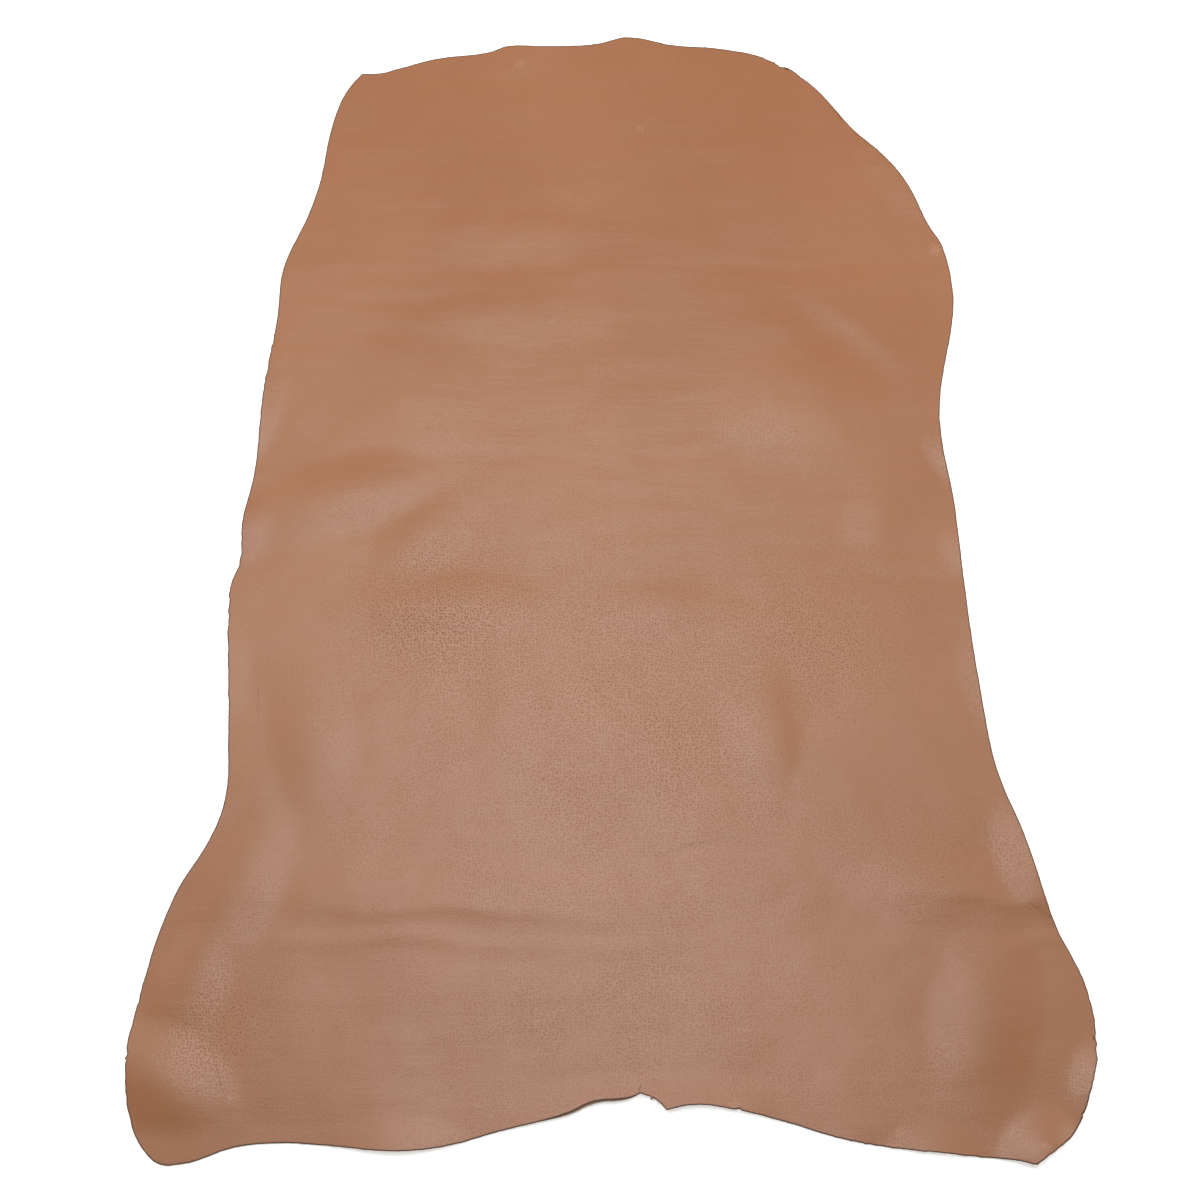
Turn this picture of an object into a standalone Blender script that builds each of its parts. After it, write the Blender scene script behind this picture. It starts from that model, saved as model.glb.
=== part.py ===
"""A whole tanned hide, trimmed at the neck, flanks and tail, lying grain side up.

The hide is one skin and so one sheet: a closed outline filled with a net of small faces, lifted into
soft waves and then given its thickness. Its flesh side touches the surface wherever no wave lifts it.
Metres, +Z up. Rows of the tables are measured from the backbone (across, to the right) and from the
middle of the hide's length (along, towards the neck). The finished hide is centred on its box.
"""

from collections import namedtuple
from math import cos, radians, sin

import bmesh
import bpy
from mathutils import Matrix, Vector

# Driving dimensions
THICKNESS = 0.0014
NET = 0.025  # side of the net's squares
NET_SNAP = 0.0012  # an outline point this near a net line lies on it
CURVE_STEPS = 3  # straight pieces between two outline points

# Finish of the grain side
TAN = (0.40, 0.20, 0.105, 1.0)
ROUGHNESS = 0.45

Point = namedtuple("Point", "across along turn")
Wave = namedtuple("Wave", "place across along reach width turn height")

# Each edge is followed clockwise, seen from above. A corner is where the knife changed direction.
NECK_EDGE = (
    Point(-0.289, 0.562, "corner"),
    Point(-0.270, 0.563, "smooth"),
    Point(-0.245, 0.571, "smooth"),
    Point(-0.208, 0.582, "smooth"),
    Point(-0.150, 0.590, "smooth"),
    Point(-0.132, 0.597, "smooth"),
    Point(-0.092, 0.597, "smooth"),
    Point(-0.033, 0.601, "smooth"),
    Point(-0.002, 0.609, "smooth"),
    Point(0.050, 0.599, "smooth"),
    Point(0.105, 0.594, "smooth"),
    Point(0.148, 0.583, "smooth"),
    Point(0.166, 0.572, "corner"),
    Point(0.174, 0.572, "corner"),
    Point(0.204, 0.544, "smooth"),
)
RIGHT_FLANK = (
    Point(0.243, 0.494, "smooth"),
    Point(0.273, 0.463, "smooth"),
    Point(0.296, 0.431, "smooth"),
    Point(0.319, 0.378, "smooth"),
    Point(0.331, 0.356, "smooth"),
    Point(0.341, 0.300, "smooth"),
    Point(0.340, 0.275, "smooth"),
    Point(0.322, 0.176, "smooth"),
    Point(0.321, 0.136, "smooth"),
    Point(0.331, 0.064, "smooth"),
    Point(0.336, -0.010, "smooth"),
    Point(0.348, -0.142, "smooth"),
    Point(0.361, -0.225, "smooth"),
    Point(0.380, -0.281, "smooth"),
    Point(0.411, -0.386, "smooth"),
    Point(0.423, -0.411, "smooth"),
    Point(0.437, -0.450, "smooth"),
    Point(0.440, -0.500, "smooth"),
    Point(0.428, -0.549, "smooth"),
    Point(0.413, -0.579, "smooth"),
    Point(0.399, -0.591, "smooth"),
)
TAIL_EDGE = (
    Point(0.377, -0.608, "corner"),
    Point(0.355, -0.603, "smooth"),
    Point(0.304, -0.598, "smooth"),
    Point(0.200, -0.584, "smooth"),
    Point(0.142, -0.567, "smooth"),
    Point(0.090, -0.555, "smooth"),
    Point(0.058, -0.552, "smooth"),
    Point(0.032, -0.557, "corner"),
    Point(0.022, -0.547, "smooth"),
    Point(0.008, -0.541, "corner"),
    Point(-0.002, -0.545, "smooth"),
    Point(-0.037, -0.549, "smooth"),
    Point(-0.062, -0.560, "smooth"),
    Point(-0.124, -0.576, "smooth"),
    Point(-0.185, -0.592, "smooth"),
    Point(-0.224, -0.595, "smooth"),
    Point(-0.291, -0.589, "smooth"),
    Point(-0.332, -0.587, "smooth"),
    Point(-0.372, -0.591, "smooth"),
    Point(-0.420, -0.606, "smooth"),
)
LEFT_FLANK = (
    Point(-0.443, -0.606, "smooth"),
    Point(-0.459, -0.592, "smooth"),
    Point(-0.475, -0.553, "smooth"),
    Point(-0.478, -0.500, "smooth"),
    Point(-0.470, -0.448, "smooth"),
    Point(-0.442, -0.350, "smooth"),
    Point(-0.409, -0.289, "smooth"),
    Point(-0.398, -0.252, "smooth"),
    Point(-0.398, -0.190, "smooth"),
    Point(-0.404, -0.059, "smooth"),
    Point(-0.403, -0.028, "smooth"),
    Point(-0.396, -0.008, "smooth"),
    Point(-0.394, 0.040, "smooth"),
    Point(-0.385, 0.095, "smooth"),
    Point(-0.380, 0.177, "smooth"),
    Point(-0.369, 0.270, "smooth"),
    Point(-0.365, 0.326, "smooth"),
    Point(-0.341, 0.391, "smooth"),
    Point(-0.332, 0.422, "smooth"),
    Point(-0.316, 0.512, "smooth"),
    Point(-0.304, 0.542, "smooth"),
)
OUTLINE = NECK_EDGE + RIGHT_FLANK + TAIL_EDGE + LEFT_FLANK

# A wave is a soft ridge, or a trough where its height is below zero. It dies away at its reach, which
# is half its length along its own line, and at its width on either side. The line is turned from the
# hide's width by turn degrees.
WAVES = (
    # place, across, along, reach, width, turn, height
    Wave("neck, left of the backbone", -0.120, 0.600, 0.090, 0.050, 5, 0.0015),
    Wave("neck corner", -0.300, 0.560, 0.080, 0.060, 60, 0.0020),
    Wave("neck, beside the backbone", 0.135, 0.440, 0.120, 0.050, 85, 0.0012),
    Wave("right shoulder edge", 0.310, 0.440, 0.100, 0.055, -50, 0.0025),
    Wave("left shoulder", -0.130, 0.370, 0.100, 0.050, 0, 0.0015),
    Wave("left shoulder, lower", -0.130, 0.280, 0.150, 0.050, 2, 0.0015),
    Wave("left of the withers", -0.215, 0.190, 0.100, 0.080, 88, 0.0025),
    Wave("right shoulder", 0.200, 0.210, 0.170, 0.140, -20, 0.0035),
    Wave("right shoulder swell", 0.165, 0.165, 0.110, 0.075, -8, 0.0025),
    Wave("right shoulder hollow", 0.215, 0.243, 0.105, 0.032, -38, -0.0018),
    Wave("left upper flank edge", -0.402, 0.185, 0.100, 0.050, 85, 0.0070),
    Wave("left flank fold", -0.300, 0.066, 0.130, 0.048, 17, 0.0045),
    Wave("left flank, inner fold", -0.212, 0.022, 0.070, 0.045, 48, 0.0022),
    Wave("right upper flank edge", 0.352, 0.120, 0.050, 0.055, 80, 0.0050),
    Wave("right flank fold", 0.262, 0.060, 0.075, 0.045, 60, 0.0020),
    Wave("left middle flank edge", -0.410, 0.030, 0.048, 0.050, 90, 0.0035),
    Wave("right middle flank edge", 0.358, 0.010, 0.042, 0.050, 90, 0.0030),
    Wave("left belly swell", -0.190, -0.052, 0.140, 0.045, 0, 0.0030),
    Wave("back, middle", 0.030, -0.055, 0.100, 0.040, 0, 0.0015),
    Wave("right lower flank edge", 0.372, -0.120, 0.090, 0.050, 95, 0.0025),
    Wave("left lower flank edge", -0.418, -0.120, 0.085, 0.045, 90, 0.0020),
    Wave("left belly fold", -0.315, -0.195, 0.090, 0.050, -80, 0.0025),
    Wave("back, left of the backbone", -0.120, -0.150, 0.100, 0.050, 88, 0.0015),
    Wave("back, right of the backbone", 0.135, -0.185, 0.080, 0.050, 92, 0.0022),
    Wave("left waist edge", -0.385, -0.350, 0.110, 0.050, 66, 0.0035),
    Wave("right waist edge", 0.402, -0.310, 0.080, 0.055, -70, 0.0060),
    Wave("rump, left", -0.170, -0.352, 0.260, 0.050, -2, 0.0025),
    Wave("rump, right", 0.330, -0.345, 0.140, 0.050, -4, 0.0035),
    Wave("left hind edge", -0.425, -0.440, 0.070, 0.045, 74, 0.0030),
    Wave("right hind fold", 0.335, -0.470, 0.110, 0.060, 80, 0.0035),
    Wave("right hind edge", 0.452, -0.530, 0.050, 0.045, 88, 0.0050),
    Wave("left hind tip", -0.450, -0.525, 0.090, 0.055, -25, 0.0065),
    Wave("tail edge, left", -0.222, -0.608, 0.085, 0.055, 0, 0.0050),
    Wave("tail edge, middle", 0.010, -0.575, 0.160, 0.060, 3, 0.0065),
    Wave("tail edge, right", 0.280, -0.612, 0.055, 0.050, 0, 0.0035),
    Wave("right hind tip", 0.388, -0.600, 0.055, 0.050, 45, 0.0080),
)


def fresh_scene():
    for old in list(bpy.data.objects):
        bpy.data.objects.remove(old, do_unlink=True)


def leather():
    """Full-grain tan leather with a soft shine."""
    material = bpy.data.materials.new("tan leather")
    material.use_nodes = True
    shader = material.node_tree.nodes["Principled BSDF"]
    shader.inputs["Base Color"].default_value = TAN
    shader.inputs["Roughness"].default_value = ROUGHNESS
    shader.inputs["Metallic"].default_value = 0.0
    return material


def outline_curve(points):
    """A closed flat curve through the points: rounded at each one, but sharp at a corner."""
    curve = bpy.data.curves.new("outline", "CURVE")
    curve.dimensions = "2D"
    curve.fill_mode = "NONE"
    curve.resolution_u = CURVE_STEPS
    spline = curve.splines.new("BEZIER")
    spline.bezier_points.add(len(points) - 1)
    spline.use_cyclic_u = True
    for knot, point in zip(spline.bezier_points, points):
        knot.co = (point.across, point.along, 0.0)
        handle = "VECTOR" if point.turn == "corner" else "AUTO"
        knot.handle_left_type = handle
        knot.handle_right_type = handle
    return bpy.data.objects.new("outline", curve)


def lift(across, along):
    """How far the flesh side stands off the surface: every wave's (1 - r squared) squared, added up."""
    total = 0.0
    for wave in WAVES:
        right = across - wave.across
        up = along - wave.along
        turn = radians(wave.turn)
        on_line = (right * cos(turn) + up * sin(turn)) / wave.reach
        off_line = (up * cos(turn) - right * sin(turn)) / wave.width
        inside = 1.0 - on_line**2 - off_line**2
        if inside > 0.0:
            total += wave.height * inside**2
    return max(total, 0.0)


def cut_into_net(mesh, low, high):
    """Cuts the flat hide along evenly spaced lines, first across its width and then its length."""
    for side in (0, 1):
        normal = Vector((0.0, 0.0, 0.0))
        normal[side] = 1.0
        lines = int((high[side] - low[side]) / NET)
        first = (low[side] + high[side] - lines * NET) / 2.0
        for line in range(lines + 1):
            place = normal * (first + line * NET)
            everything = mesh.verts[:] + mesh.edges[:] + mesh.faces[:]
            bmesh.ops.bisect_plane(
                mesh, geom=everything, dist=NET_SNAP, plane_co=place, plane_no=normal
            )


def hide_sheet(collection):
    """The skin's flesh side as an open net, with its thickness added upwards, to the grain side."""
    outline = outline_curve(OUTLINE)
    collection.objects.link(outline)
    evaluated = outline.evaluated_get(bpy.context.evaluated_depsgraph_get())
    sheet = bpy.data.meshes.new_from_object(evaluated)
    bpy.data.objects.remove(outline, do_unlink=True)

    net = bmesh.new()
    net.from_mesh(sheet)
    bmesh.ops.contextual_create(net, geom=net.edges[:])
    low = Vector(min(v.co[side] for v in net.verts) for side in range(3))
    high = Vector(max(v.co[side] for v in net.verts) for side in range(3))
    cut_into_net(net, low, high)
    for vertex in net.verts:
        vertex.co.z = lift(vertex.co.x, vertex.co.y)
    bmesh.ops.transform(net, matrix=Matrix.Translation((low + high) / -2.0), verts=net.verts)
    bmesh.ops.triangulate(net, faces=net.faces[:])
    bmesh.ops.recalc_face_normals(net, faces=net.faces[:])
    if sum(face.normal.z for face in net.faces) < 0.0:
        bmesh.ops.reverse_faces(net, faces=net.faces[:])
    net.to_mesh(sheet)
    net.free()

    sheet.name = "hide"
    sheet.materials.append(leather())
    sheet.shade_smooth()
    hide = bpy.data.objects.new("hide", sheet)
    collection.objects.link(hide)
    thickness = hide.modifiers.new("thickness", "SOLIDIFY")
    thickness.thickness = THICKNESS
    thickness.offset = 1.0
    return hide


def build():
    fresh_scene()
    collection = bpy.data.collections.new("leather hide")
    bpy.context.scene.collection.children.link(collection)
    hide_sheet(collection)


build()
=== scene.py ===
"""A whole tan leather hide lying grain side up on a pale floor, under a soft studio light.

Metres throughout. The tables measure from the backbone (across, to the right) and from the middle of
the hide's length (along, towards the neck), as a leather worker would with the skin on the bench. The
sheet is then moved so that the middle of its box stands at the origin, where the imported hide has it.
"""

import bpy
import numpy as np
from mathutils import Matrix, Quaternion, Vector


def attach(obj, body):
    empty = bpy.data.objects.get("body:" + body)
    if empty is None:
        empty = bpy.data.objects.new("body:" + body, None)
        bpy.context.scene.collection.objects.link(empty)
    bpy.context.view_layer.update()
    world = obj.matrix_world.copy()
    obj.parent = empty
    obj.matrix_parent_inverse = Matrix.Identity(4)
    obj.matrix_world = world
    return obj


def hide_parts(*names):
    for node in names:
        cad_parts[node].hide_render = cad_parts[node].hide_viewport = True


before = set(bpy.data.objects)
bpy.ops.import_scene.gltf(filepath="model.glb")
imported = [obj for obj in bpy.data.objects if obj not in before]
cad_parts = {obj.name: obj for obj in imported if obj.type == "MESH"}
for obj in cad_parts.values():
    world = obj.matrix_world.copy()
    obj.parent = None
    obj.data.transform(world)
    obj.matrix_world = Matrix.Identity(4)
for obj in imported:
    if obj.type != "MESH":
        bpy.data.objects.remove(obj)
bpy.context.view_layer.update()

# ---------------------------------------------------------------------------------------------
# Sizes
# ---------------------------------------------------------------------------------------------

THICKNESS = 0.0014
CELLS_ACROSS = 190
CELLS_ALONG = 214
RIM_STEPS = 3  # points of the cut edge to each cell of the net
CURVE_STEPS = 24  # points that a curve between two outline points is measured with
AUTO_HANDLE = 0.39  # a rounded point's handle, as a share of the way to its neighbour
CORNER_HANDLE = 1.0 / 3.0
FRAY = 0.00016
MAP_MARGIN = 0.006  # bare strip round the skin on its flat map
SINK = 0.4  # how far the grain may sink below the skin's lie, as a share of its thickness

# Trimming the skin. Each edge is followed clockwise, seen from above: across, along, and whether the
# knife rounded the point or turned on it.
ROUND, CORNER = 0, 1
NECK_EDGE = (
    (-0.289, 0.562, CORNER),
    (-0.270, 0.563, ROUND),
    (-0.245, 0.571, ROUND),
    (-0.208, 0.582, ROUND),
    (-0.150, 0.590, ROUND),
    (-0.132, 0.597, ROUND),
    (-0.092, 0.597, ROUND),
    (-0.033, 0.601, ROUND),
    (-0.002, 0.609, ROUND),
    (0.050, 0.599, ROUND),
    (0.105, 0.594, ROUND),
    (0.148, 0.583, ROUND),
    (0.166, 0.572, CORNER),
    (0.174, 0.572, CORNER),
    (0.204, 0.544, ROUND),
)
RIGHT_FLANK = (
    (0.243, 0.494, ROUND),
    (0.273, 0.463, ROUND),
    (0.296, 0.431, ROUND),
    (0.319, 0.378, ROUND),
    (0.331, 0.356, ROUND),
    (0.341, 0.300, ROUND),
    (0.340, 0.275, ROUND),
    (0.322, 0.176, ROUND),
    (0.321, 0.136, ROUND),
    (0.331, 0.064, ROUND),
    (0.336, -0.010, ROUND),
    (0.348, -0.142, ROUND),
    (0.361, -0.225, ROUND),
    (0.380, -0.281, ROUND),
    (0.411, -0.386, ROUND),
    (0.423, -0.411, ROUND),
    (0.437, -0.450, ROUND),
    (0.440, -0.500, ROUND),
    (0.428, -0.549, ROUND),
    (0.413, -0.579, ROUND),
    (0.399, -0.591, ROUND),
)
TAIL_EDGE = (
    (0.377, -0.608, CORNER),
    (0.355, -0.603, ROUND),
    (0.304, -0.598, ROUND),
    (0.200, -0.584, ROUND),
    (0.142, -0.567, ROUND),
    (0.090, -0.555, ROUND),
    (0.058, -0.552, ROUND),
    (0.032, -0.557, CORNER),
    (0.022, -0.547, ROUND),
    (0.008, -0.541, CORNER),
    (-0.002, -0.545, ROUND),
    (-0.037, -0.549, ROUND),
    (-0.062, -0.560, ROUND),
    (-0.124, -0.576, ROUND),
    (-0.185, -0.592, ROUND),
    (-0.224, -0.595, ROUND),
    (-0.291, -0.589, ROUND),
    (-0.332, -0.587, ROUND),
    (-0.372, -0.591, ROUND),
    (-0.420, -0.606, ROUND),
)
LEFT_FLANK = (
    (-0.443, -0.606, ROUND),
    (-0.459, -0.592, ROUND),
    (-0.475, -0.553, ROUND),
    (-0.478, -0.500, ROUND),
    (-0.470, -0.448, ROUND),
    (-0.442, -0.350, ROUND),
    (-0.409, -0.289, ROUND),
    (-0.398, -0.252, ROUND),
    (-0.398, -0.190, ROUND),
    (-0.404, -0.059, ROUND),
    (-0.403, -0.028, ROUND),
    (-0.396, -0.008, ROUND),
    (-0.394, 0.040, ROUND),
    (-0.385, 0.095, ROUND),
    (-0.380, 0.177, ROUND),
    (-0.369, 0.270, ROUND),
    (-0.365, 0.326, ROUND),
    (-0.341, 0.391, ROUND),
    (-0.332, 0.422, ROUND),
    (-0.316, 0.512, ROUND),
    (-0.304, 0.542, ROUND),
)

# Where the cut is loose and ragged, the tags that the knife left standing on it, and where the knife
# leaned out and left the flesh standing past the grain: across, along, reach and size.
LOOSE = (
    (0.440, -0.500, 0.110, 1.2),
    (0.390, -0.600, 0.060, 0.9),
    (-0.478, -0.500, 0.130, 1.0),
    (-0.404, -0.059, 0.150, 1.0),
    (-0.372, 0.200, 0.080, 0.8),
    (0.250, -0.590, 0.100, 0.8),
    (0.168, 0.572, 0.040, 1.5),
)
TAGS = (
    (0.0185, -0.5450, 0.0016, 0.0030),
    (-0.4785, -0.5076, 0.0020, 0.0020),
    (-0.3700, 0.2180, 0.0025, 0.0012),
    (0.4230, -0.5600, 0.0025, -0.0014),
    (0.1000, -0.5570, 0.0030, -0.0012),
)
LEANS = (
    (-0.045, -0.551, 0.055, 0.0022),
    (-0.010, -0.545, 0.020, 0.0008),
    (0.420, -0.568, 0.050, 0.0008),
)

# Waves: the soft ridges in which the skin stands off the floor. Each dies away at its reach, which is
# half its length along its own line, and at its width on either side.
WAVES = (
    # place, across, along, reach, width, turn in degrees, height
    ("neck, left of the backbone", -0.120, 0.600, 0.090, 0.050, 5, 0.0015),
    ("neck corner", -0.300, 0.560, 0.080, 0.060, 60, 0.0020),
    ("neck, beside the backbone", 0.135, 0.440, 0.120, 0.050, 85, 0.0012),
    ("right shoulder edge", 0.310, 0.440, 0.100, 0.055, -50, 0.0025),
    ("left shoulder", -0.130, 0.370, 0.100, 0.050, 0, 0.0015),
    ("left shoulder, lower", -0.130, 0.280, 0.150, 0.050, 2, 0.0015),
    ("left of the withers", -0.215, 0.190, 0.100, 0.080, 88, 0.0025),
    ("right shoulder", 0.200, 0.210, 0.170, 0.140, -20, 0.0035),
    ("right shoulder swell", 0.165, 0.165, 0.110, 0.075, -8, 0.0025),
    ("right shoulder hollow", 0.215, 0.243, 0.105, 0.032, -38, -0.0018),
    ("left upper flank edge", -0.402, 0.185, 0.100, 0.050, 85, 0.0070),
    ("left flank fold", -0.300, 0.066, 0.130, 0.048, 17, 0.0045),
    ("left flank, inner fold", -0.212, 0.022, 0.070, 0.045, 48, 0.0022),
    ("right upper flank edge", 0.352, 0.120, 0.050, 0.055, 80, 0.0050),
    ("right flank fold", 0.262, 0.060, 0.075, 0.045, 60, 0.0020),
    ("left middle flank edge", -0.410, 0.030, 0.048, 0.050, 90, 0.0035),
    ("right middle flank edge", 0.358, 0.010, 0.042, 0.050, 90, 0.0030),
    ("left belly swell", -0.190, -0.052, 0.140, 0.045, 0, 0.0030),
    ("back, middle", 0.030, -0.055, 0.100, 0.040, 0, 0.0015),
    ("right lower flank edge", 0.372, -0.120, 0.090, 0.050, 95, 0.0025),
    ("left lower flank edge", -0.418, -0.120, 0.085, 0.045, 90, 0.0020),
    ("left belly fold", -0.315, -0.195, 0.090, 0.050, -80, 0.0025),
    ("back, left of the backbone", -0.120, -0.150, 0.100, 0.050, 88, 0.0015),
    ("back, right of the backbone", 0.135, -0.185, 0.080, 0.050, 92, 0.0022),
    ("left waist edge", -0.385, -0.350, 0.110, 0.050, 66, 0.0035),
    ("right waist edge", 0.402, -0.310, 0.080, 0.055, -70, 0.0060),
    ("rump, left", -0.170, -0.352, 0.260, 0.050, -2, 0.0025),
    ("rump, right", 0.330, -0.345, 0.140, 0.050, -4, 0.0035),
    ("left hind edge", -0.425, -0.440, 0.070, 0.045, 74, 0.0030),
    ("right hind fold", 0.335, -0.470, 0.110, 0.060, 80, 0.0035),
    ("right hind edge", 0.452, -0.530, 0.050, 0.045, 88, 0.0050),
    ("left hind tip", -0.450, -0.525, 0.090, 0.055, -25, 0.0065),
    ("tail edge, left", -0.222, -0.608, 0.085, 0.055, 0, 0.0050),
    ("tail edge, middle", 0.010, -0.575, 0.160, 0.060, 3, 0.0065),
    ("tail edge, right", 0.280, -0.612, 0.055, 0.050, 0, 0.0035),
    ("right hind tip", 0.388, -0.600, 0.055, 0.050, 45, 0.0080),
)

# Creases that folding the skin for storage has left: sharp lines, raised or sunk, in the same columns.
CREASES = (
    ("neck, left", -0.150, 0.396, 0.150, 0.016, 0, -0.0004),
    ("shoulders, right", 0.150, 0.328, 0.190, 0.016, 1, -0.0006),
    ("shoulders, left", -0.235, 0.292, 0.160, 0.018, 1, -0.0005),
    ("ribs, left", -0.150, 0.113, 0.180, 0.018, -4, -0.0006),
    ("ribs, right", 0.120, 0.118, 0.190, 0.018, 2, -0.0005),
    ("ribs, lower right", 0.170, 0.010, 0.210, 0.014, 1, -0.0005),
    ("flank, right", 0.250, -0.020, 0.120, 0.014, -1, -0.0006),
    ("back line, left", -0.150, -0.165, 0.080, 0.022, 86, -0.0005),
    ("back line, right", 0.162, -0.190, 0.080, 0.022, 91, -0.0008),
    ("loin, arched", 0.060, -0.304, 0.080, 0.012, 10, -0.0006),
    ("loin, slanting", 0.160, -0.342, 0.060, 0.012, 24, -0.0006),
    ("rump, upper", -0.160, -0.366, 0.220, 0.018, -2, 0.0012),
    ("rump, lower", -0.180, -0.396, 0.280, 0.018, 0, 0.0014),
    ("rump, upper right", 0.350, -0.352, 0.120, 0.018, -3, 0.0012),
    ("rump, lower right", 0.350, -0.396, 0.120, 0.016, 1, 0.0010),
    ("backbone at the neck", 0.000, 0.530, 0.140, 0.012, 90, 0.0006),
)


# ---------------------------------------------------------------------------------------------
# The trimmed outline
# ---------------------------------------------------------------------------------------------


def unit(vectors):
    """Each row over its own length."""
    return vectors / np.linalg.norm(vectors, axis=1, keepdims=True)


def outline_curve():
    """The trimmed edge as short Bezier pieces, one from each table point to the next, and the lengths
    along it of the table's points. A rounded point's handles lie on the line halfway between the
    directions to its neighbours; a corner's handles point straight at them.
    """
    rows = np.array(NECK_EDGE + RIGHT_FLANK + TAIL_EDGE + LEFT_FLANK)
    knot = rows[:, :2]
    corner = rows[:, 2:] == CORNER
    back = knot - np.roll(knot, 1, axis=0)
    ahead = np.roll(knot, -1, axis=0) - knot
    tangent = unit(unit(back) + unit(ahead))
    reach_back = np.linalg.norm(back, axis=1, keepdims=True)
    reach_ahead = np.linalg.norm(ahead, axis=1, keepdims=True)
    before = np.where(corner, back * CORNER_HANDLE, tangent * reach_back * AUTO_HANDLE)
    after = np.where(corner, ahead * CORNER_HANDLE, tangent * reach_ahead * AUTO_HANDLE)
    start, end = knot, np.roll(knot, -1, axis=0)
    leave, arrive = start + after, end - np.roll(before, -1, axis=0)
    t = np.linspace(0, 1, CURVE_STEPS, endpoint=False)[None, :, None]
    curve = (
        (1 - t) ** 3 * start[:, None]
        + 3 * t * (1 - t) ** 2 * leave[:, None]
        + 3 * t**2 * (1 - t) * arrive[:, None]
        + t**3 * end[:, None]
    ).reshape(-1, 2)
    curve = np.vstack([curve, curve[:1]])
    run = np.concatenate([[0.0], np.cumsum(np.linalg.norm(np.diff(curve, axis=0), axis=1))])
    return curve, run, run[::CURVE_STEPS], corner[:, 0]


def trimmed_edge():
    """The outline as a loop of points, clockwise from the neck's left corner. The steps are even along
    each of the four edges, except that the nearest one moves onto each corner, so that no corner is
    cut off. Each step is then parted into rim steps.
    """
    curve, run, at_knot, corner = outline_curve()
    at_knot = np.append(at_knot, run[-1])
    corner = np.append(corner, True)
    first = np.cumsum([0, len(NECK_EDGE), len(RIGHT_FLANK), len(TAIL_EDGE), len(LEFT_FLANK)])
    stations = []
    for edge, count in enumerate((CELLS_ACROSS, CELLS_ALONG, CELLS_ACROSS, CELLS_ALONG)):
        knots = slice(first[edge], first[edge + 1] + 1)
        steps = np.linspace(at_knot[knots][0], at_knot[knots][-1], count + 1)
        for place in at_knot[knots][1:-1][corner[knots][1:-1]]:
            steps[np.argmin(np.abs(steps - place))] = place
        fine = steps[:-1, None] + np.diff(steps)[:, None] * np.arange(RIM_STEPS) / RIM_STEPS
        stations.append(fine.ravel())
    stations = np.concatenate(stations)
    return np.stack([np.interp(stations, run, curve[:, side]) for side in (0, 1)], axis=1)


def outward(loop):
    """Each point's direction away from the skin: the line through its neighbours, turned a quarter."""
    ahead = np.roll(loop, -1, axis=0) - np.roll(loop, 1, axis=0)
    return unit(np.stack([-ahead[:, 1], ahead[:, 0]], axis=1))


def hump(loop, rows):
    """At each point, the sum of every row's size times (1 - (distance / reach) squared) squared."""
    total = np.zeros(len(loop))
    for across, along, reach, size in rows:
        away = ((loop - (across, along)) ** 2).sum(axis=1) / reach**2
        total += size * np.maximum(0.0, 1.0 - away) ** 2
    return total


def frayed(loop):
    """The loop moved in and out by the unevenness of a knife cut through soft fibres: seeded noise,
    smoothed over a few points, stronger where the belly is loose; and by the tags left standing.
    """
    rng = np.random.default_rng(7)
    noise = rng.normal(size=(3, len(loop)))
    for row, span in zip(noise, (1, 4, 12)):
        for _ in range(span):
            row[:] = (np.roll(row, 1) + 2.0 * row + np.roll(row, -1)) / 4.0
        row /= row.std()
    loose = 0.35 + hump(loop, LOOSE)
    shift = FRAY * noise.sum(axis=0) * loose + hump(loop, TAGS)
    return loop + outward(loop) * shift[:, None]


# ---------------------------------------------------------------------------------------------
# The lie of the skin
# ---------------------------------------------------------------------------------------------

RIPPLES = (
    # how many, shortest, longest, slope, heading and its spread in degrees
    (26, 0.040, 0.180, 0.012, 90.0, 180.0),
    (40, 0.013, 0.045, 0.010, 90.0, 14.0),
)


def own_axes(across, along, row):
    """Places in a ridge's own axes, as shares of its reach along its line and of its width off it,
    and the ridge's height.
    """
    _, middle_across, middle_along, reach, width, degrees, height = row
    right, up = across - middle_across, along - middle_along
    turn = np.radians(degrees)
    on_line = (right * np.cos(turn) + up * np.sin(turn)) / reach
    off_line = (up * np.cos(turn) - right * np.sin(turn)) / width
    return on_line, off_line, height


def waves(across, along):
    """The sum of every wave's height times (1 - r squared) squared, with r its elliptic distance."""
    total = np.zeros_like(across)
    for row in WAVES:
        on_line, off_line, height = own_axes(across, along, row)
        total += height * np.maximum(0.0, 1.0 - on_line**2 - off_line**2) ** 2
    return total


def creases(across, along):
    """The sum of every crease: its height times (1 - |off|) squared across it, barely rounded at its
    middle line, times (1 - on squared) squared along it. Slow sines let the line wander.
    """
    total = np.zeros_like(across)
    for number, row in enumerate(CREASES):
        on_line, off_line, height = own_axes(across, along, row)
        off_line = off_line + 0.22 * np.sin(on_line * 5.0 + number) + 0.12 * np.sin(on_line * 13.0)
        side = np.maximum(0.0, 1.0 - np.sqrt(off_line**2 + 0.01))
        total += height * side**2 * np.maximum(0.0, 1.0 - on_line**2) ** 2
    return total


def ripples(across, along):
    """The skin's faint unevenness: seeded plane waves, each as high as it is long, in one set that
    runs every way and one of growth wrinkles that lie across the body.
    """
    rng = np.random.default_rng(11)
    total = np.zeros_like(across)
    for count, shortest, longest, slope, heading, spread in RIPPLES:
        for _ in range(count):
            length = np.exp(rng.uniform(np.log(shortest), np.log(longest)))
            turn = np.radians(heading + rng.uniform(-spread, spread))
            phase = rng.uniform(0.0, 2.0 * np.pi)
            run = across * np.cos(turn) + along * np.sin(turn)
            high = slope * length / (2.0 * np.pi) / np.sqrt(count / 2.0)
            total += high * np.sin(2.0 * np.pi * run / length + phase)
    return total


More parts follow.
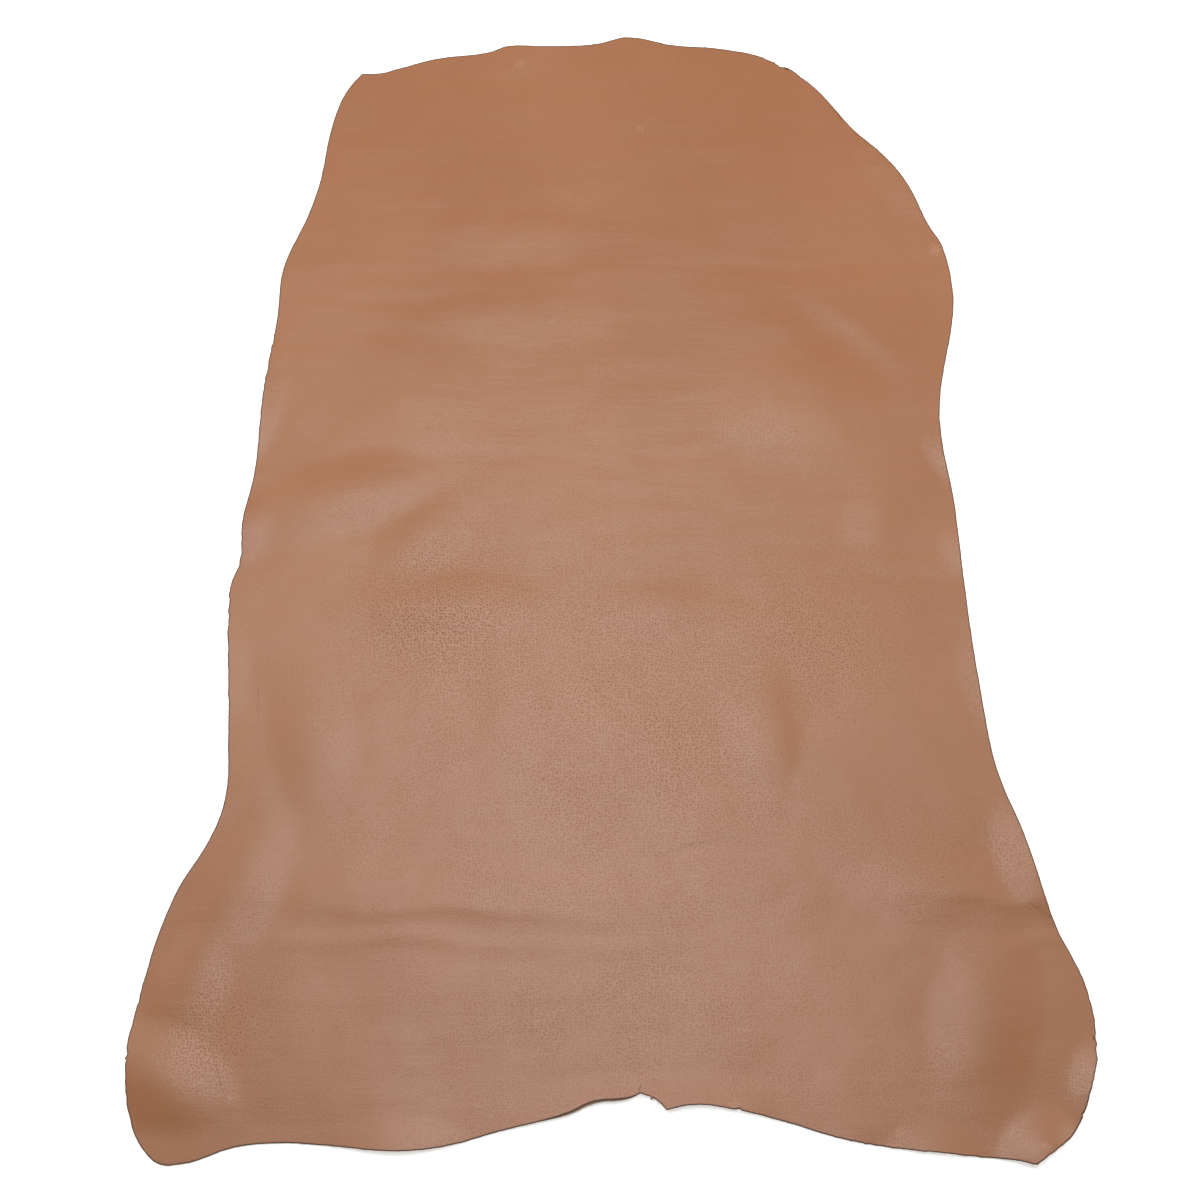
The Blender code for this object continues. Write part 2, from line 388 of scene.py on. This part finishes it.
def flesh_height(across, along):
    """How far the flesh side stands off the floor: the waves, and the creases where they rise."""
    return np.maximum(0.0, waves(across, along) + creases(across, along))


def grain_height(across, along):
    """The grain side: one thickness above the skin's lie, with all creases and ripples on it."""
    lie = waves(across, along) + creases(across, along) + ripples(across, along)
    return np.maximum(lie, -SINK * THICKNESS) + THICKNESS


# ---------------------------------------------------------------------------------------------
# The sheet
# ---------------------------------------------------------------------------------------------

# The cut edge, from the grain side round to the flesh side: how far inside the outline, how high on
# the thickness, how dark it is painted (the edge's dye, and painted shade in a thin line along the
# cut), how much of it is flesh, and how far it follows a leaning knife.
RIM = (
    (0.00150, 1.00, 0.0, 0.0, 0.0),
    (0.00085, 0.99, 0.9, 0.0, 0.0),
    (0.00000, 0.80, 1.0, 0.0, 0.0),
    (0.00000, 0.50, 0.2, 0.6, 0.5),
    (0.00015, 0.05, 0.0, 1.0, 1.0),
)
NET_INSET = 0.0024


def patch(loop):
    """A net of cells between the loop's four edges. A point at s across and t along is the tail and
    neck points blended by t, plus the flank points blended by s, less the corners blended by both.
    """
    across, along = CELLS_ACROSS, CELLS_ALONG
    cuts = np.cumsum([across, along, across])
    closed = np.vstack([loop, loop[:1]])
    neck = closed[: cuts[0] + 1]
    right = closed[cuts[0] : cuts[1] + 1][::-1]
    tail = closed[cuts[1] : cuts[2] + 1][::-1]
    left = closed[cuts[2] :]

    def share(edge):
        steps = np.linalg.norm(np.diff(edge, axis=0), axis=1)
        return np.concatenate([[0.0], np.cumsum(steps)]) / steps.sum()

    s_mean = (share(neck) + share(tail)) / 2.0
    t_mean = (share(left) + share(right)) / 2.0
    s = np.outer(1 - t_mean, share(tail)) + np.outer(t_mean, share(neck))
    t = np.outer(share(left), 1 - s_mean) + np.outer(share(right), s_mean)
    s, t = s[:, :, None], t[:, :, None]
    return (
        (1 - t) * tail[None]
        + t * neck[None]
        + (1 - s) * left[:, None]
        + s * right[:, None]
        - (1 - s) * (1 - t) * tail[0]
        - s * (1 - t) * tail[-1]
        - (1 - s) * t * neck[0]
        - s * t * neck[-1]
    )


def border_of(first):
    """The net's outer points in the outline's order, for a net whose first point has this number."""
    number = first + np.arange((CELLS_ALONG + 1) * (CELLS_ACROSS + 1))
    number = number.reshape(CELLS_ALONG + 1, CELLS_ACROSS + 1)
    return np.concatenate(
        [number[-1, :-1], number[::-1, -1][:-1], number[0, ::-1][:-1], number[:-1, 0]]
    )


def net_faces(first):
    """The net's squares, facing up."""
    row = CELLS_ACROSS + 1
    corner = first + np.add.outer(np.arange(CELLS_ALONG) * row, np.arange(CELLS_ACROSS)).ravel()
    return np.stack([corner, corner + 1, corner + row + 1, corner + row], axis=1)


def ring_faces(higher, lower):
    """Squares from one loop of the cut edge to the next one down, facing out."""
    return np.stack([higher, np.roll(higher, -1), np.roll(lower, -1), lower], axis=1)


def joining_faces(net, ring):
    """Faces from a net's border to the finer loop around it, facing up: for each step of the border,
    a square at the step's far end and a fan of triangles at its near end.
    """
    ahead = np.roll(net, -1)
    fine = ring.reshape(-1, RIM_STEPS)
    end = np.roll(fine[:, 0], -1)
    squares = np.stack([net, ahead, end, fine[:, -1]], axis=1)
    fans = [
        np.stack([net, fine[:, step + 1], fine[:, step]], axis=1) for step in range(RIM_STEPS - 1)
    ]
    return squares.tolist() + np.vstack(fans).tolist()


def hide_sheet():
    """The whole skin: a grain-side net, the rounded cut edge and a flesh-side net, closed all round.

    Its flat map has the grain side at full size, with the cut edge laid out around it by its own
    length, and the flesh side squeezed into the strip beside it.
    """
    smooth = trimmed_edge()
    edge = frayed(smooth)
    away = outward(edge)
    lean = hump(edge, LEANS)
    smooth = smooth[::RIM_STEPS]
    inner = smooth - outward(smooth) * NET_INSET
    net = patch(inner).reshape(-1, 2)

    places, heights, edge_dye_and_shade, flesh, flat = [net], [grain_height(*net.T)], [0.0], [0.0], [net]
    spread, was = 0.0, (NET_INSET, 1.0)
    for inset, share, edge_dye_and_shade_share, underside, leaning in RIM:
        ring = edge + away * (lean * leaning - inset)[:, None]
        low, high = flesh_height(*ring.T), grain_height(*ring.T)
        spread += np.hypot(was[0] - inset, (was[1] - share) * THICKNESS)
        was = (inset, share)
        places.append(ring)
        heights.append(low + (high - low) * share)
        edge_dye_and_shade.append(edge_dye_and_shade_share)
        flesh.append(underside)
        flat.append(edge + away * (spread - NET_INSET))
    places.append(net)
    heights.append(flesh_height(*net.T))
    edge_dye_and_shade.append(0.0)
    flesh.append(1.0)
    flat.append(net)

    counts = [len(part) for part in places]
    start = np.cumsum([0] + counts)
    rings = [np.arange(start[number], start[number + 1]) for number in range(1, len(RIM) + 1)]
    faces = net_faces(0).tolist() + joining_faces(border_of(0), rings[0])
    for higher, lower in zip(rings, rings[1:]):
        faces += ring_faces(higher, lower).tolist()
    grain_faces = len(faces)
    under = joining_faces(border_of(start[-2]), rings[-1]) + net_faces(start[-2]).tolist()
    faces += [face[::-1] for face in under]

    middle = (edge.min(axis=0) + edge.max(axis=0)) / 2.0
    vertices = np.column_stack([np.vstack(places) - middle, np.concatenate(heights)])
    mesh = bpy.data.meshes.new("hide_skin")
    mesh.from_pydata(vertices.tolist(), [], faces)
    # The darkening attribute marks the cut edge's dye and a painted line of shade along the cut.
    for name, values in (("edge_dye_and_shade", edge_dye_and_shade), ("flesh", flesh)):
        attribute = mesh.attributes.new(name, "FLOAT", "POINT")
        attribute.data.foreach_set("value", np.repeat(values, counts).astype(np.float32))

    low, high = edge.min(axis=0) - MAP_MARGIN, edge.max(axis=0) + MAP_MARGIN
    side = (high - low).max()
    strip = 1.0 - (high - low)[0] / side
    grain_map = (np.vstack(flat) - low) / side
    flesh_map = (np.vstack(places) - low) / (high - low) * (strip, 1.0) + (1.0 - strip, 0.0)
    corners = np.fromiter((number for face in faces for number in face), dtype=np.int64)
    on_grain = np.arange(len(corners)) < sum(len(face) for face in faces[:grain_faces])
    layout = np.where(on_grain[:, None], grain_map[corners], flesh_map[corners])
    mesh.uv_layers.new(name="OFBake").data.foreach_set("uv", layout.ravel())

    mesh.shade_smooth()
    mesh.update()
    skin = bpy.data.objects.new("hide_skin", mesh)
    bpy.context.scene.collection.objects.link(skin)
    return skin


# ---------------------------------------------------------------------------------------------
# Finishes
# ---------------------------------------------------------------------------------------------


class Wire:
    """A socket of a shader tree. Sums and products of wires and numbers add Math nodes."""

    def __init__(self, tree, socket):
        self.tree = tree
        self.socket = socket

    def maths(self, operation, first, second=None):
        values = {0: first} if second is None else {0: first, 1: second}
        return node(self.tree, "ShaderNodeMath", {"operation": operation}, values)

    def __add__(self, other):
        return self.maths("ADD", self, other)

    def __sub__(self, other):
        return self.maths("SUBTRACT", self, other)

    def __rsub__(self, other):
        return self.maths("SUBTRACT", other, self)

    def __mul__(self, other):
        return self.maths("MULTIPLY", self, other)

    __radd__ = __add__
    __rmul__ = __mul__


def node(tree, kind, settings, values, output=0):
    """Adds a node, sets its settings, then the values or links of its sockets, and gives one output."""
    made = tree.nodes.new(kind)
    for name, value in settings.items():
        setattr(made, name, value)
    for name, value in values.items():
        if isinstance(value, Wire):
            tree.links.new(value.socket, made.inputs[name])
        else:
            made.inputs[name].default_value = value
    return Wire(tree, made.outputs[output])


def vector_maths(operation, first, second, output=0):
    """A Vector Math node on two vectors."""
    settings = {"operation": operation}
    return node(first.tree, "ShaderNodeVectorMath", settings, {0: first, 1: second}, output)


def noise(at, scale, detail=3.0, roughness=0.5, output=0):
    """Cloudy noise from 0 to 1, with scale in features per metre."""
    values = {"Vector": at, "Scale": scale, "Detail": detail, "Roughness": roughness}
    return node(at.tree, "ShaderNodeTexNoise", {"noise_dimensions": "2D"}, values, output)


def stretched(at, across, along):
    """Noise whose features are 1 / across metres wide and 1 / along metres long."""
    return noise(vector_maths("MULTIPLY", at, (across, along, 0.0)), 1.0, 3.0, 0.6)


def pores(at, per_metre):
    """Pits at the middles of an uneven honeycomb: 1 in a pit and 0 between them."""
    settings = {"voronoi_dimensions": "2D", "feature": "F1"}
    values = {"Vector": at, "Scale": per_metre, "Randomness": 0.62}
    return between(node(at.tree, "ShaderNodeTexVoronoi", settings, values), 0.40, 0.0)


def between(value, low, high, start=0.0, end=1.0):
    """start up to low, end from high on, and a smooth step between them."""
    values = {"Value": value, "From Min": low, "From Max": high, "To Min": start, "To Max": end}
    return node(value.tree, "ShaderNodeMapRange", {"interpolation_type": "SMOOTHSTEP"}, values)


def blend(share, first, second):
    """The first colour where share is 0 and the second where it is 1."""
    settings = {"data_type": "RGBA", "clamp_factor": True}
    values = {0: share, 6: first, 7: second}
    return node(share.tree, "ShaderNodeMix", settings, values, output=2)


def patches(at, rows):
    """The sum of soft round patches: across, along, radius and strength."""
    total = 0.0
    for across, along, radius, strength in rows:
        away = vector_maths("DISTANCE", at, (across, along, 0.0), output=1)
        total = total + between(away, radius, 0.0) * strength
    return total


def strokes(at, rows):
    """The sum of some fine straight marks. Each fades out at its width from the line between its two
    ends, which is where the share along it is held between 0 and 1.
    """
    total = 0.0
    for start_x, start_y, end_x, end_y, width, strength in rows:
        line = (end_x - start_x, end_y - start_y, 0.0)
        length = line[0] ** 2 + line[1] ** 2
        offset = vector_maths("SUBTRACT", at, (start_x, start_y, 0.0))
        share = vector_maths("DOT_PRODUCT", offset, line, output=1) * (1.0 / length)
        share = share.maths("MAXIMUM", share, 0.0)
        share = share.maths("MINIMUM", share, 1.0)
        across = share * line[0], share * line[1]
        foot = node(at.tree, "ShaderNodeCombineXYZ", {}, {0: across[0], 1: across[1]})
        away = vector_maths("DISTANCE", offset, foot, output=1)
        total = total + between(away, width, 0.2 * width) * strength
    return total


PORES_PER_METRE = 318.0
STRAY = 0.004  # how far the pores, wrinkles and marks wander, in metres
RELIEF = 0.00016  # the height that a relief of 1 stands for, in metres
CROSS_WRINKLED = ((-0.300, -0.030, 0.170, 1.0),)  # the patch where wrinkles also run up the body

# Colours of the dyed grain, the painted shade in its pits, the cut edge (its dye with painted shade
# along it) and the flesh side. The scratch colour also paints shade in a slit and along two creases.
TAN = (0.318, 0.131, 0.059, 1.0)
TAN_DEEP = (0.300, 0.120, 0.052, 1.0)
# Painted shade in the pore pits.
PIT_SHADE = (0.200, 0.072, 0.030, 1.0)
SCUFF = (0.560, 0.330, 0.220, 1.0)
# Dark of the scratches, also used as painted shade in a slit and along two loin creases.
SCRATCH_AND_SHADE_LINE = (0.120, 0.048, 0.024, 1.0)
# Dark brown of the dyed cut edge, also used as painted shade in a thin line along it.
DYED_EDGE_AND_SHADE = (0.070, 0.034, 0.022, 1.0)
NAP = (0.500, 0.420, 0.350, 1.0)
NAP_DEEP = (0.380, 0.300, 0.240, 1.0)

# Measured from the middle of the sheet: patches as x, y, radius and strength; marks as two ends, half
# a width and a strength.
OPEN_PORES = (
    (-0.185, -0.065, 0.130, 0.8),
    (0.220, -0.070, 0.150, 0.6),
    (-0.370, -0.480, 0.110, 0.6),
    (0.330, -0.320, 0.120, 0.4),
    (0.050, -0.150, 0.250, 0.3),
)
SCUFFS = (
    (0.032, 0.493, 0.006, 0.35),
    (-0.098, 0.574, 0.008, 0.30),
    (0.344, 0.348, 0.010, 0.35),
    (0.116, -0.552, 0.006, 0.30),
    (0.270, -0.578, 0.008, 0.30),
    (0.405, -0.592, 0.008, 0.40),
    (-0.360, -0.547, 0.008, 0.30),
)
SCRATCHES_AND_SHADE_LINES = (
    (-0.3515, -0.1415, -0.3500, -0.1725, 0.0009, 0.40),
    (0.4050, -0.3600, 0.4320, -0.3790, 0.0008, 0.35),
    (-0.3760, -0.5090, -0.3690, -0.5330, 0.0010, 0.30),
    (-0.3690, -0.5330, -0.3590, -0.5560, 0.0009, 0.25),
    # Painted shade in the closed slit above the tail notch.
    (0.0255, -0.5400, 0.0275, -0.5340, 0.0011, 0.80),
    # Painted shade along the arched and the slanting loin creases.
    (0.0350, -0.3140, 0.0740, -0.3010, 0.0030, 0.07),
    (0.0740, -0.3010, 0.1190, -0.2935, 0.0035, 0.10),
    (0.1190, -0.2935, 0.1690, -0.3010, 0.0030, 0.08),
    (0.1390, -0.3600, 0.1760, -0.3480, 0.0030, 0.08),
    (0.1760, -0.3480, 0.2200, -0.3250, 0.0030, 0.07),
)


def leather_finish():
    """Grain, cut edge and flesh side in one material, told apart by the skin's own attributes."""
    material = bpy.data.materials.new("tan_leather")
    material.use_nodes = True
    tree = material.node_tree
    shader = tree.nodes["Principled BSDF"]
    flat = node(tree, "ShaderNodeTexCoord", {}, {}, output=3)
    flat = vector_maths("MULTIPLY", flat, (1.0, 1.0, 0.0))
    # The cut edge's dye, with painted shade in a thin line along it.
    edge_dye_and_shade = node(tree, "ShaderNodeAttribute", {"attribute_name": "edge_dye_and_shade"}, {}, output=2)
    flesh = node(tree, "ShaderNodeAttribute", {"attribute_name": "flesh"}, {}, output=2)
    grain = 1.0 - flesh

    # Pores of one spacing, which are widest open in the patches of the table.
    stray = vector_maths("SUBTRACT", noise(flat, 150.0, 1.0, output=1), (0.5, 0.5, 0.5))
    stray = vector_maths("MULTIPLY", stray, (STRAY, STRAY, 0.0))
    wandering = vector_maths("ADD", flat, stray)
    opening = 0.30 + patches(flat, OPEN_PORES) + 0.2 * between(noise(flat, 12.0), 0.4, 0.65)
    pit = pores(wandering, PORES_PER_METRE) * opening
    wrinkle = stretched(wandering, 22.0, 150.0)
    crossing = stretched(wandering, 170.0, 24.0) * patches(flat, CROSS_WRINKLED)
    fine = noise(flat, 900.0, 2.0)

    scratch_and_shade_line = strokes(wandering, SCRATCHES_AND_SHADE_LINES)
    scuff = patches(wandering, SCUFFS) * between(noise(flat, 420.0), 0.35, 0.65)
    dye_and_shade = blend(between(noise(flat, 5.0, 4.0), 0.3, 0.7), TAN_DEEP, TAN)
    # Painted shade in the pore pits, deepest where the pores open widest; the colour from here on holds
    # painted shade.
    dye_and_shade = blend(pit * 0.75, dye_and_shade, PIT_SHADE)
    dye_and_shade = blend(scuff, dye_and_shade, SCUFF)
    # Scratches darkened, and painted shade in the slit and along the loin creases.
    dye_and_shade = blend(scratch_and_shade_line, dye_and_shade, SCRATCH_AND_SHADE_LINE)
    napped = blend(noise(flat, 160.0, 4.0, 0.7), NAP_DEEP, NAP)
    # The cut edge darkened: its dye and painted shade along it.
    colour = blend(edge_dye_and_shade, blend(flesh, dye_and_shade, napped), DYED_EDGE_AND_SHADE)

    shine = 0.31 + 0.04 * noise(flat, 14.0) + 0.06 * noise(flat, 70.0) + 0.35 * pit + 0.15 * scuff
    rough = shine * grain + 0.92 * flesh
    rough = rough * (1.0 - edge_dye_and_shade) + 0.75 * edge_dye_and_shade

    relief = 0.05 * fine - 0.8 * pit + 0.9 * wrinkle + 0.7 * crossing - 1.2 * scratch_and_shade_line
    relief = relief * grain + noise(flat, 700.0, 4.0, 0.8) * flesh
    values = {"Strength": 1.0, "Distance": RELIEF, "Height": relief}
    bump = node(tree, "ShaderNodeBump", {}, values)
    tree.links.new(colour.socket, shader.inputs["Base Color"])
    tree.links.new(rough.socket, shader.inputs["Roughness"])
    tree.links.new(bump.socket, shader.inputs["Normal"])
    return material


# ---------------------------------------------------------------------------------------------
# The studio
# ---------------------------------------------------------------------------------------------

CAMERA_ELEVATION = 70.0
CAMERA_DISTANCE = 2.62
CAMERA_LENS = 78.0
AIM = (-0.011, -0.046, 0.0)
FLOOR_HALF = 30.0
FLOOR_DROP = 0.0003  # the floor's top lies this far under the skin


def camera():
    """Looks down at the skin from its tail end, steeply enough to see it nearly in plan."""
    data = bpy.data.cameras.new("camera")
    data.lens = CAMERA_LENS
    data.clip_end = 100.0
    eye = bpy.data.objects.new("camera", data)
    lean = np.radians(90.0 - CAMERA_ELEVATION)
    back = CAMERA_DISTANCE * np.array([0.0, -np.sin(lean), np.cos(lean)])
    eye.location = (np.array(AIM) + back).tolist()
    eye.rotation_euler = (lean, 0.0, 0.0)
    bpy.context.scene.collection.objects.link(eye)
    bpy.context.scene.camera = eye


def floor():
    """A pale matt floor just under the skin."""
    mesh = bpy.data.meshes.new("floor")
    corners = [(-1, -1), (1, -1), (1, 1), (-1, 1)]
    places = [(x * FLOOR_HALF, y * FLOOR_HALF, -FLOOR_DROP) for x, y in corners]
    mesh.from_pydata(places, [], [(0, 1, 2, 3)])
    material = bpy.data.materials.new("pale_floor")
    material.use_nodes = True
    shader = material.node_tree.nodes["Principled BSDF"]
    shader.inputs["Base Color"].default_value = (0.90, 0.90, 0.90, 1.0)
    shader.inputs["Roughness"].default_value = 0.9
    shader.inputs["Specular IOR Level"].default_value = 0.1
    shader.inputs["Emission Color"].default_value = (1.0, 1.0, 1.0, 1.0)
    shader.inputs["Emission Strength"].default_value = 0.45
    mesh.materials.append(material)
    ground = bpy.data.objects.new("floor", mesh)
    bpy.context.scene.collection.objects.link(ground)


def softbox(name, place, aim, turn, size, power, colour):
    """A rectangular soft light at place, facing aim and turned about its own axis by turn degrees."""
    data = bpy.data.lights.new(name, "AREA")
    data.shape = "RECTANGLE"
    data.size, data.size_y = size
    data.energy = power
    data.color = colour
    lamp = bpy.data.objects.new(name, data)
    lamp.location = place
    facing = (Vector(aim) - Vector(place)).to_track_quat("-Z", "Y")
    lamp.rotation_euler = (facing @ Quaternion((0.0, 0.0, 1.0), np.radians(turn))).to_euler()
    bpy.context.scene.collection.objects.link(lamp)


def studio():
    """A soft box over the back, whose shine lies on the middle of the skin, one on each side, and the
    room's dim light.
    """
    cool, warm = (0.86, 0.97, 1.0), (1.0, 0.96, 0.92)
    softbox("overhead", (-0.06, 0.38, 2.5), (-0.06, 0.38, 0.0), 10.0, (1.0, 1.75), 33.0, cool)
    softbox("left", (-2.3, 1.2, 1.9), (0.0, 0.25, 0.0), 0.0, (1.2, 1.2), 60.0, warm)
    softbox("right", (2.3, 1.2, 1.9), (0.0, 0.25, 0.0), 0.0, (1.2, 1.2), 60.0, warm)
    world = bpy.data.worlds.new("room")
    world.use_nodes = True
    sky = world.node_tree.nodes["Background"]
    sky.inputs["Color"].default_value = (1.0, 0.90, 0.80, 1.0)
    sky.inputs["Strength"].default_value = 0.18
    bpy.context.scene.world = world
    bpy.context.scene.view_settings.view_transform = "Standard"


# ---------------------------------------------------------------------------------------------
# Making it
# ---------------------------------------------------------------------------------------------

camera()
floor()
studio()
skin = hide_sheet()
skin.data.materials.append(leather_finish())
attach(skin, "root")
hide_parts("hide")
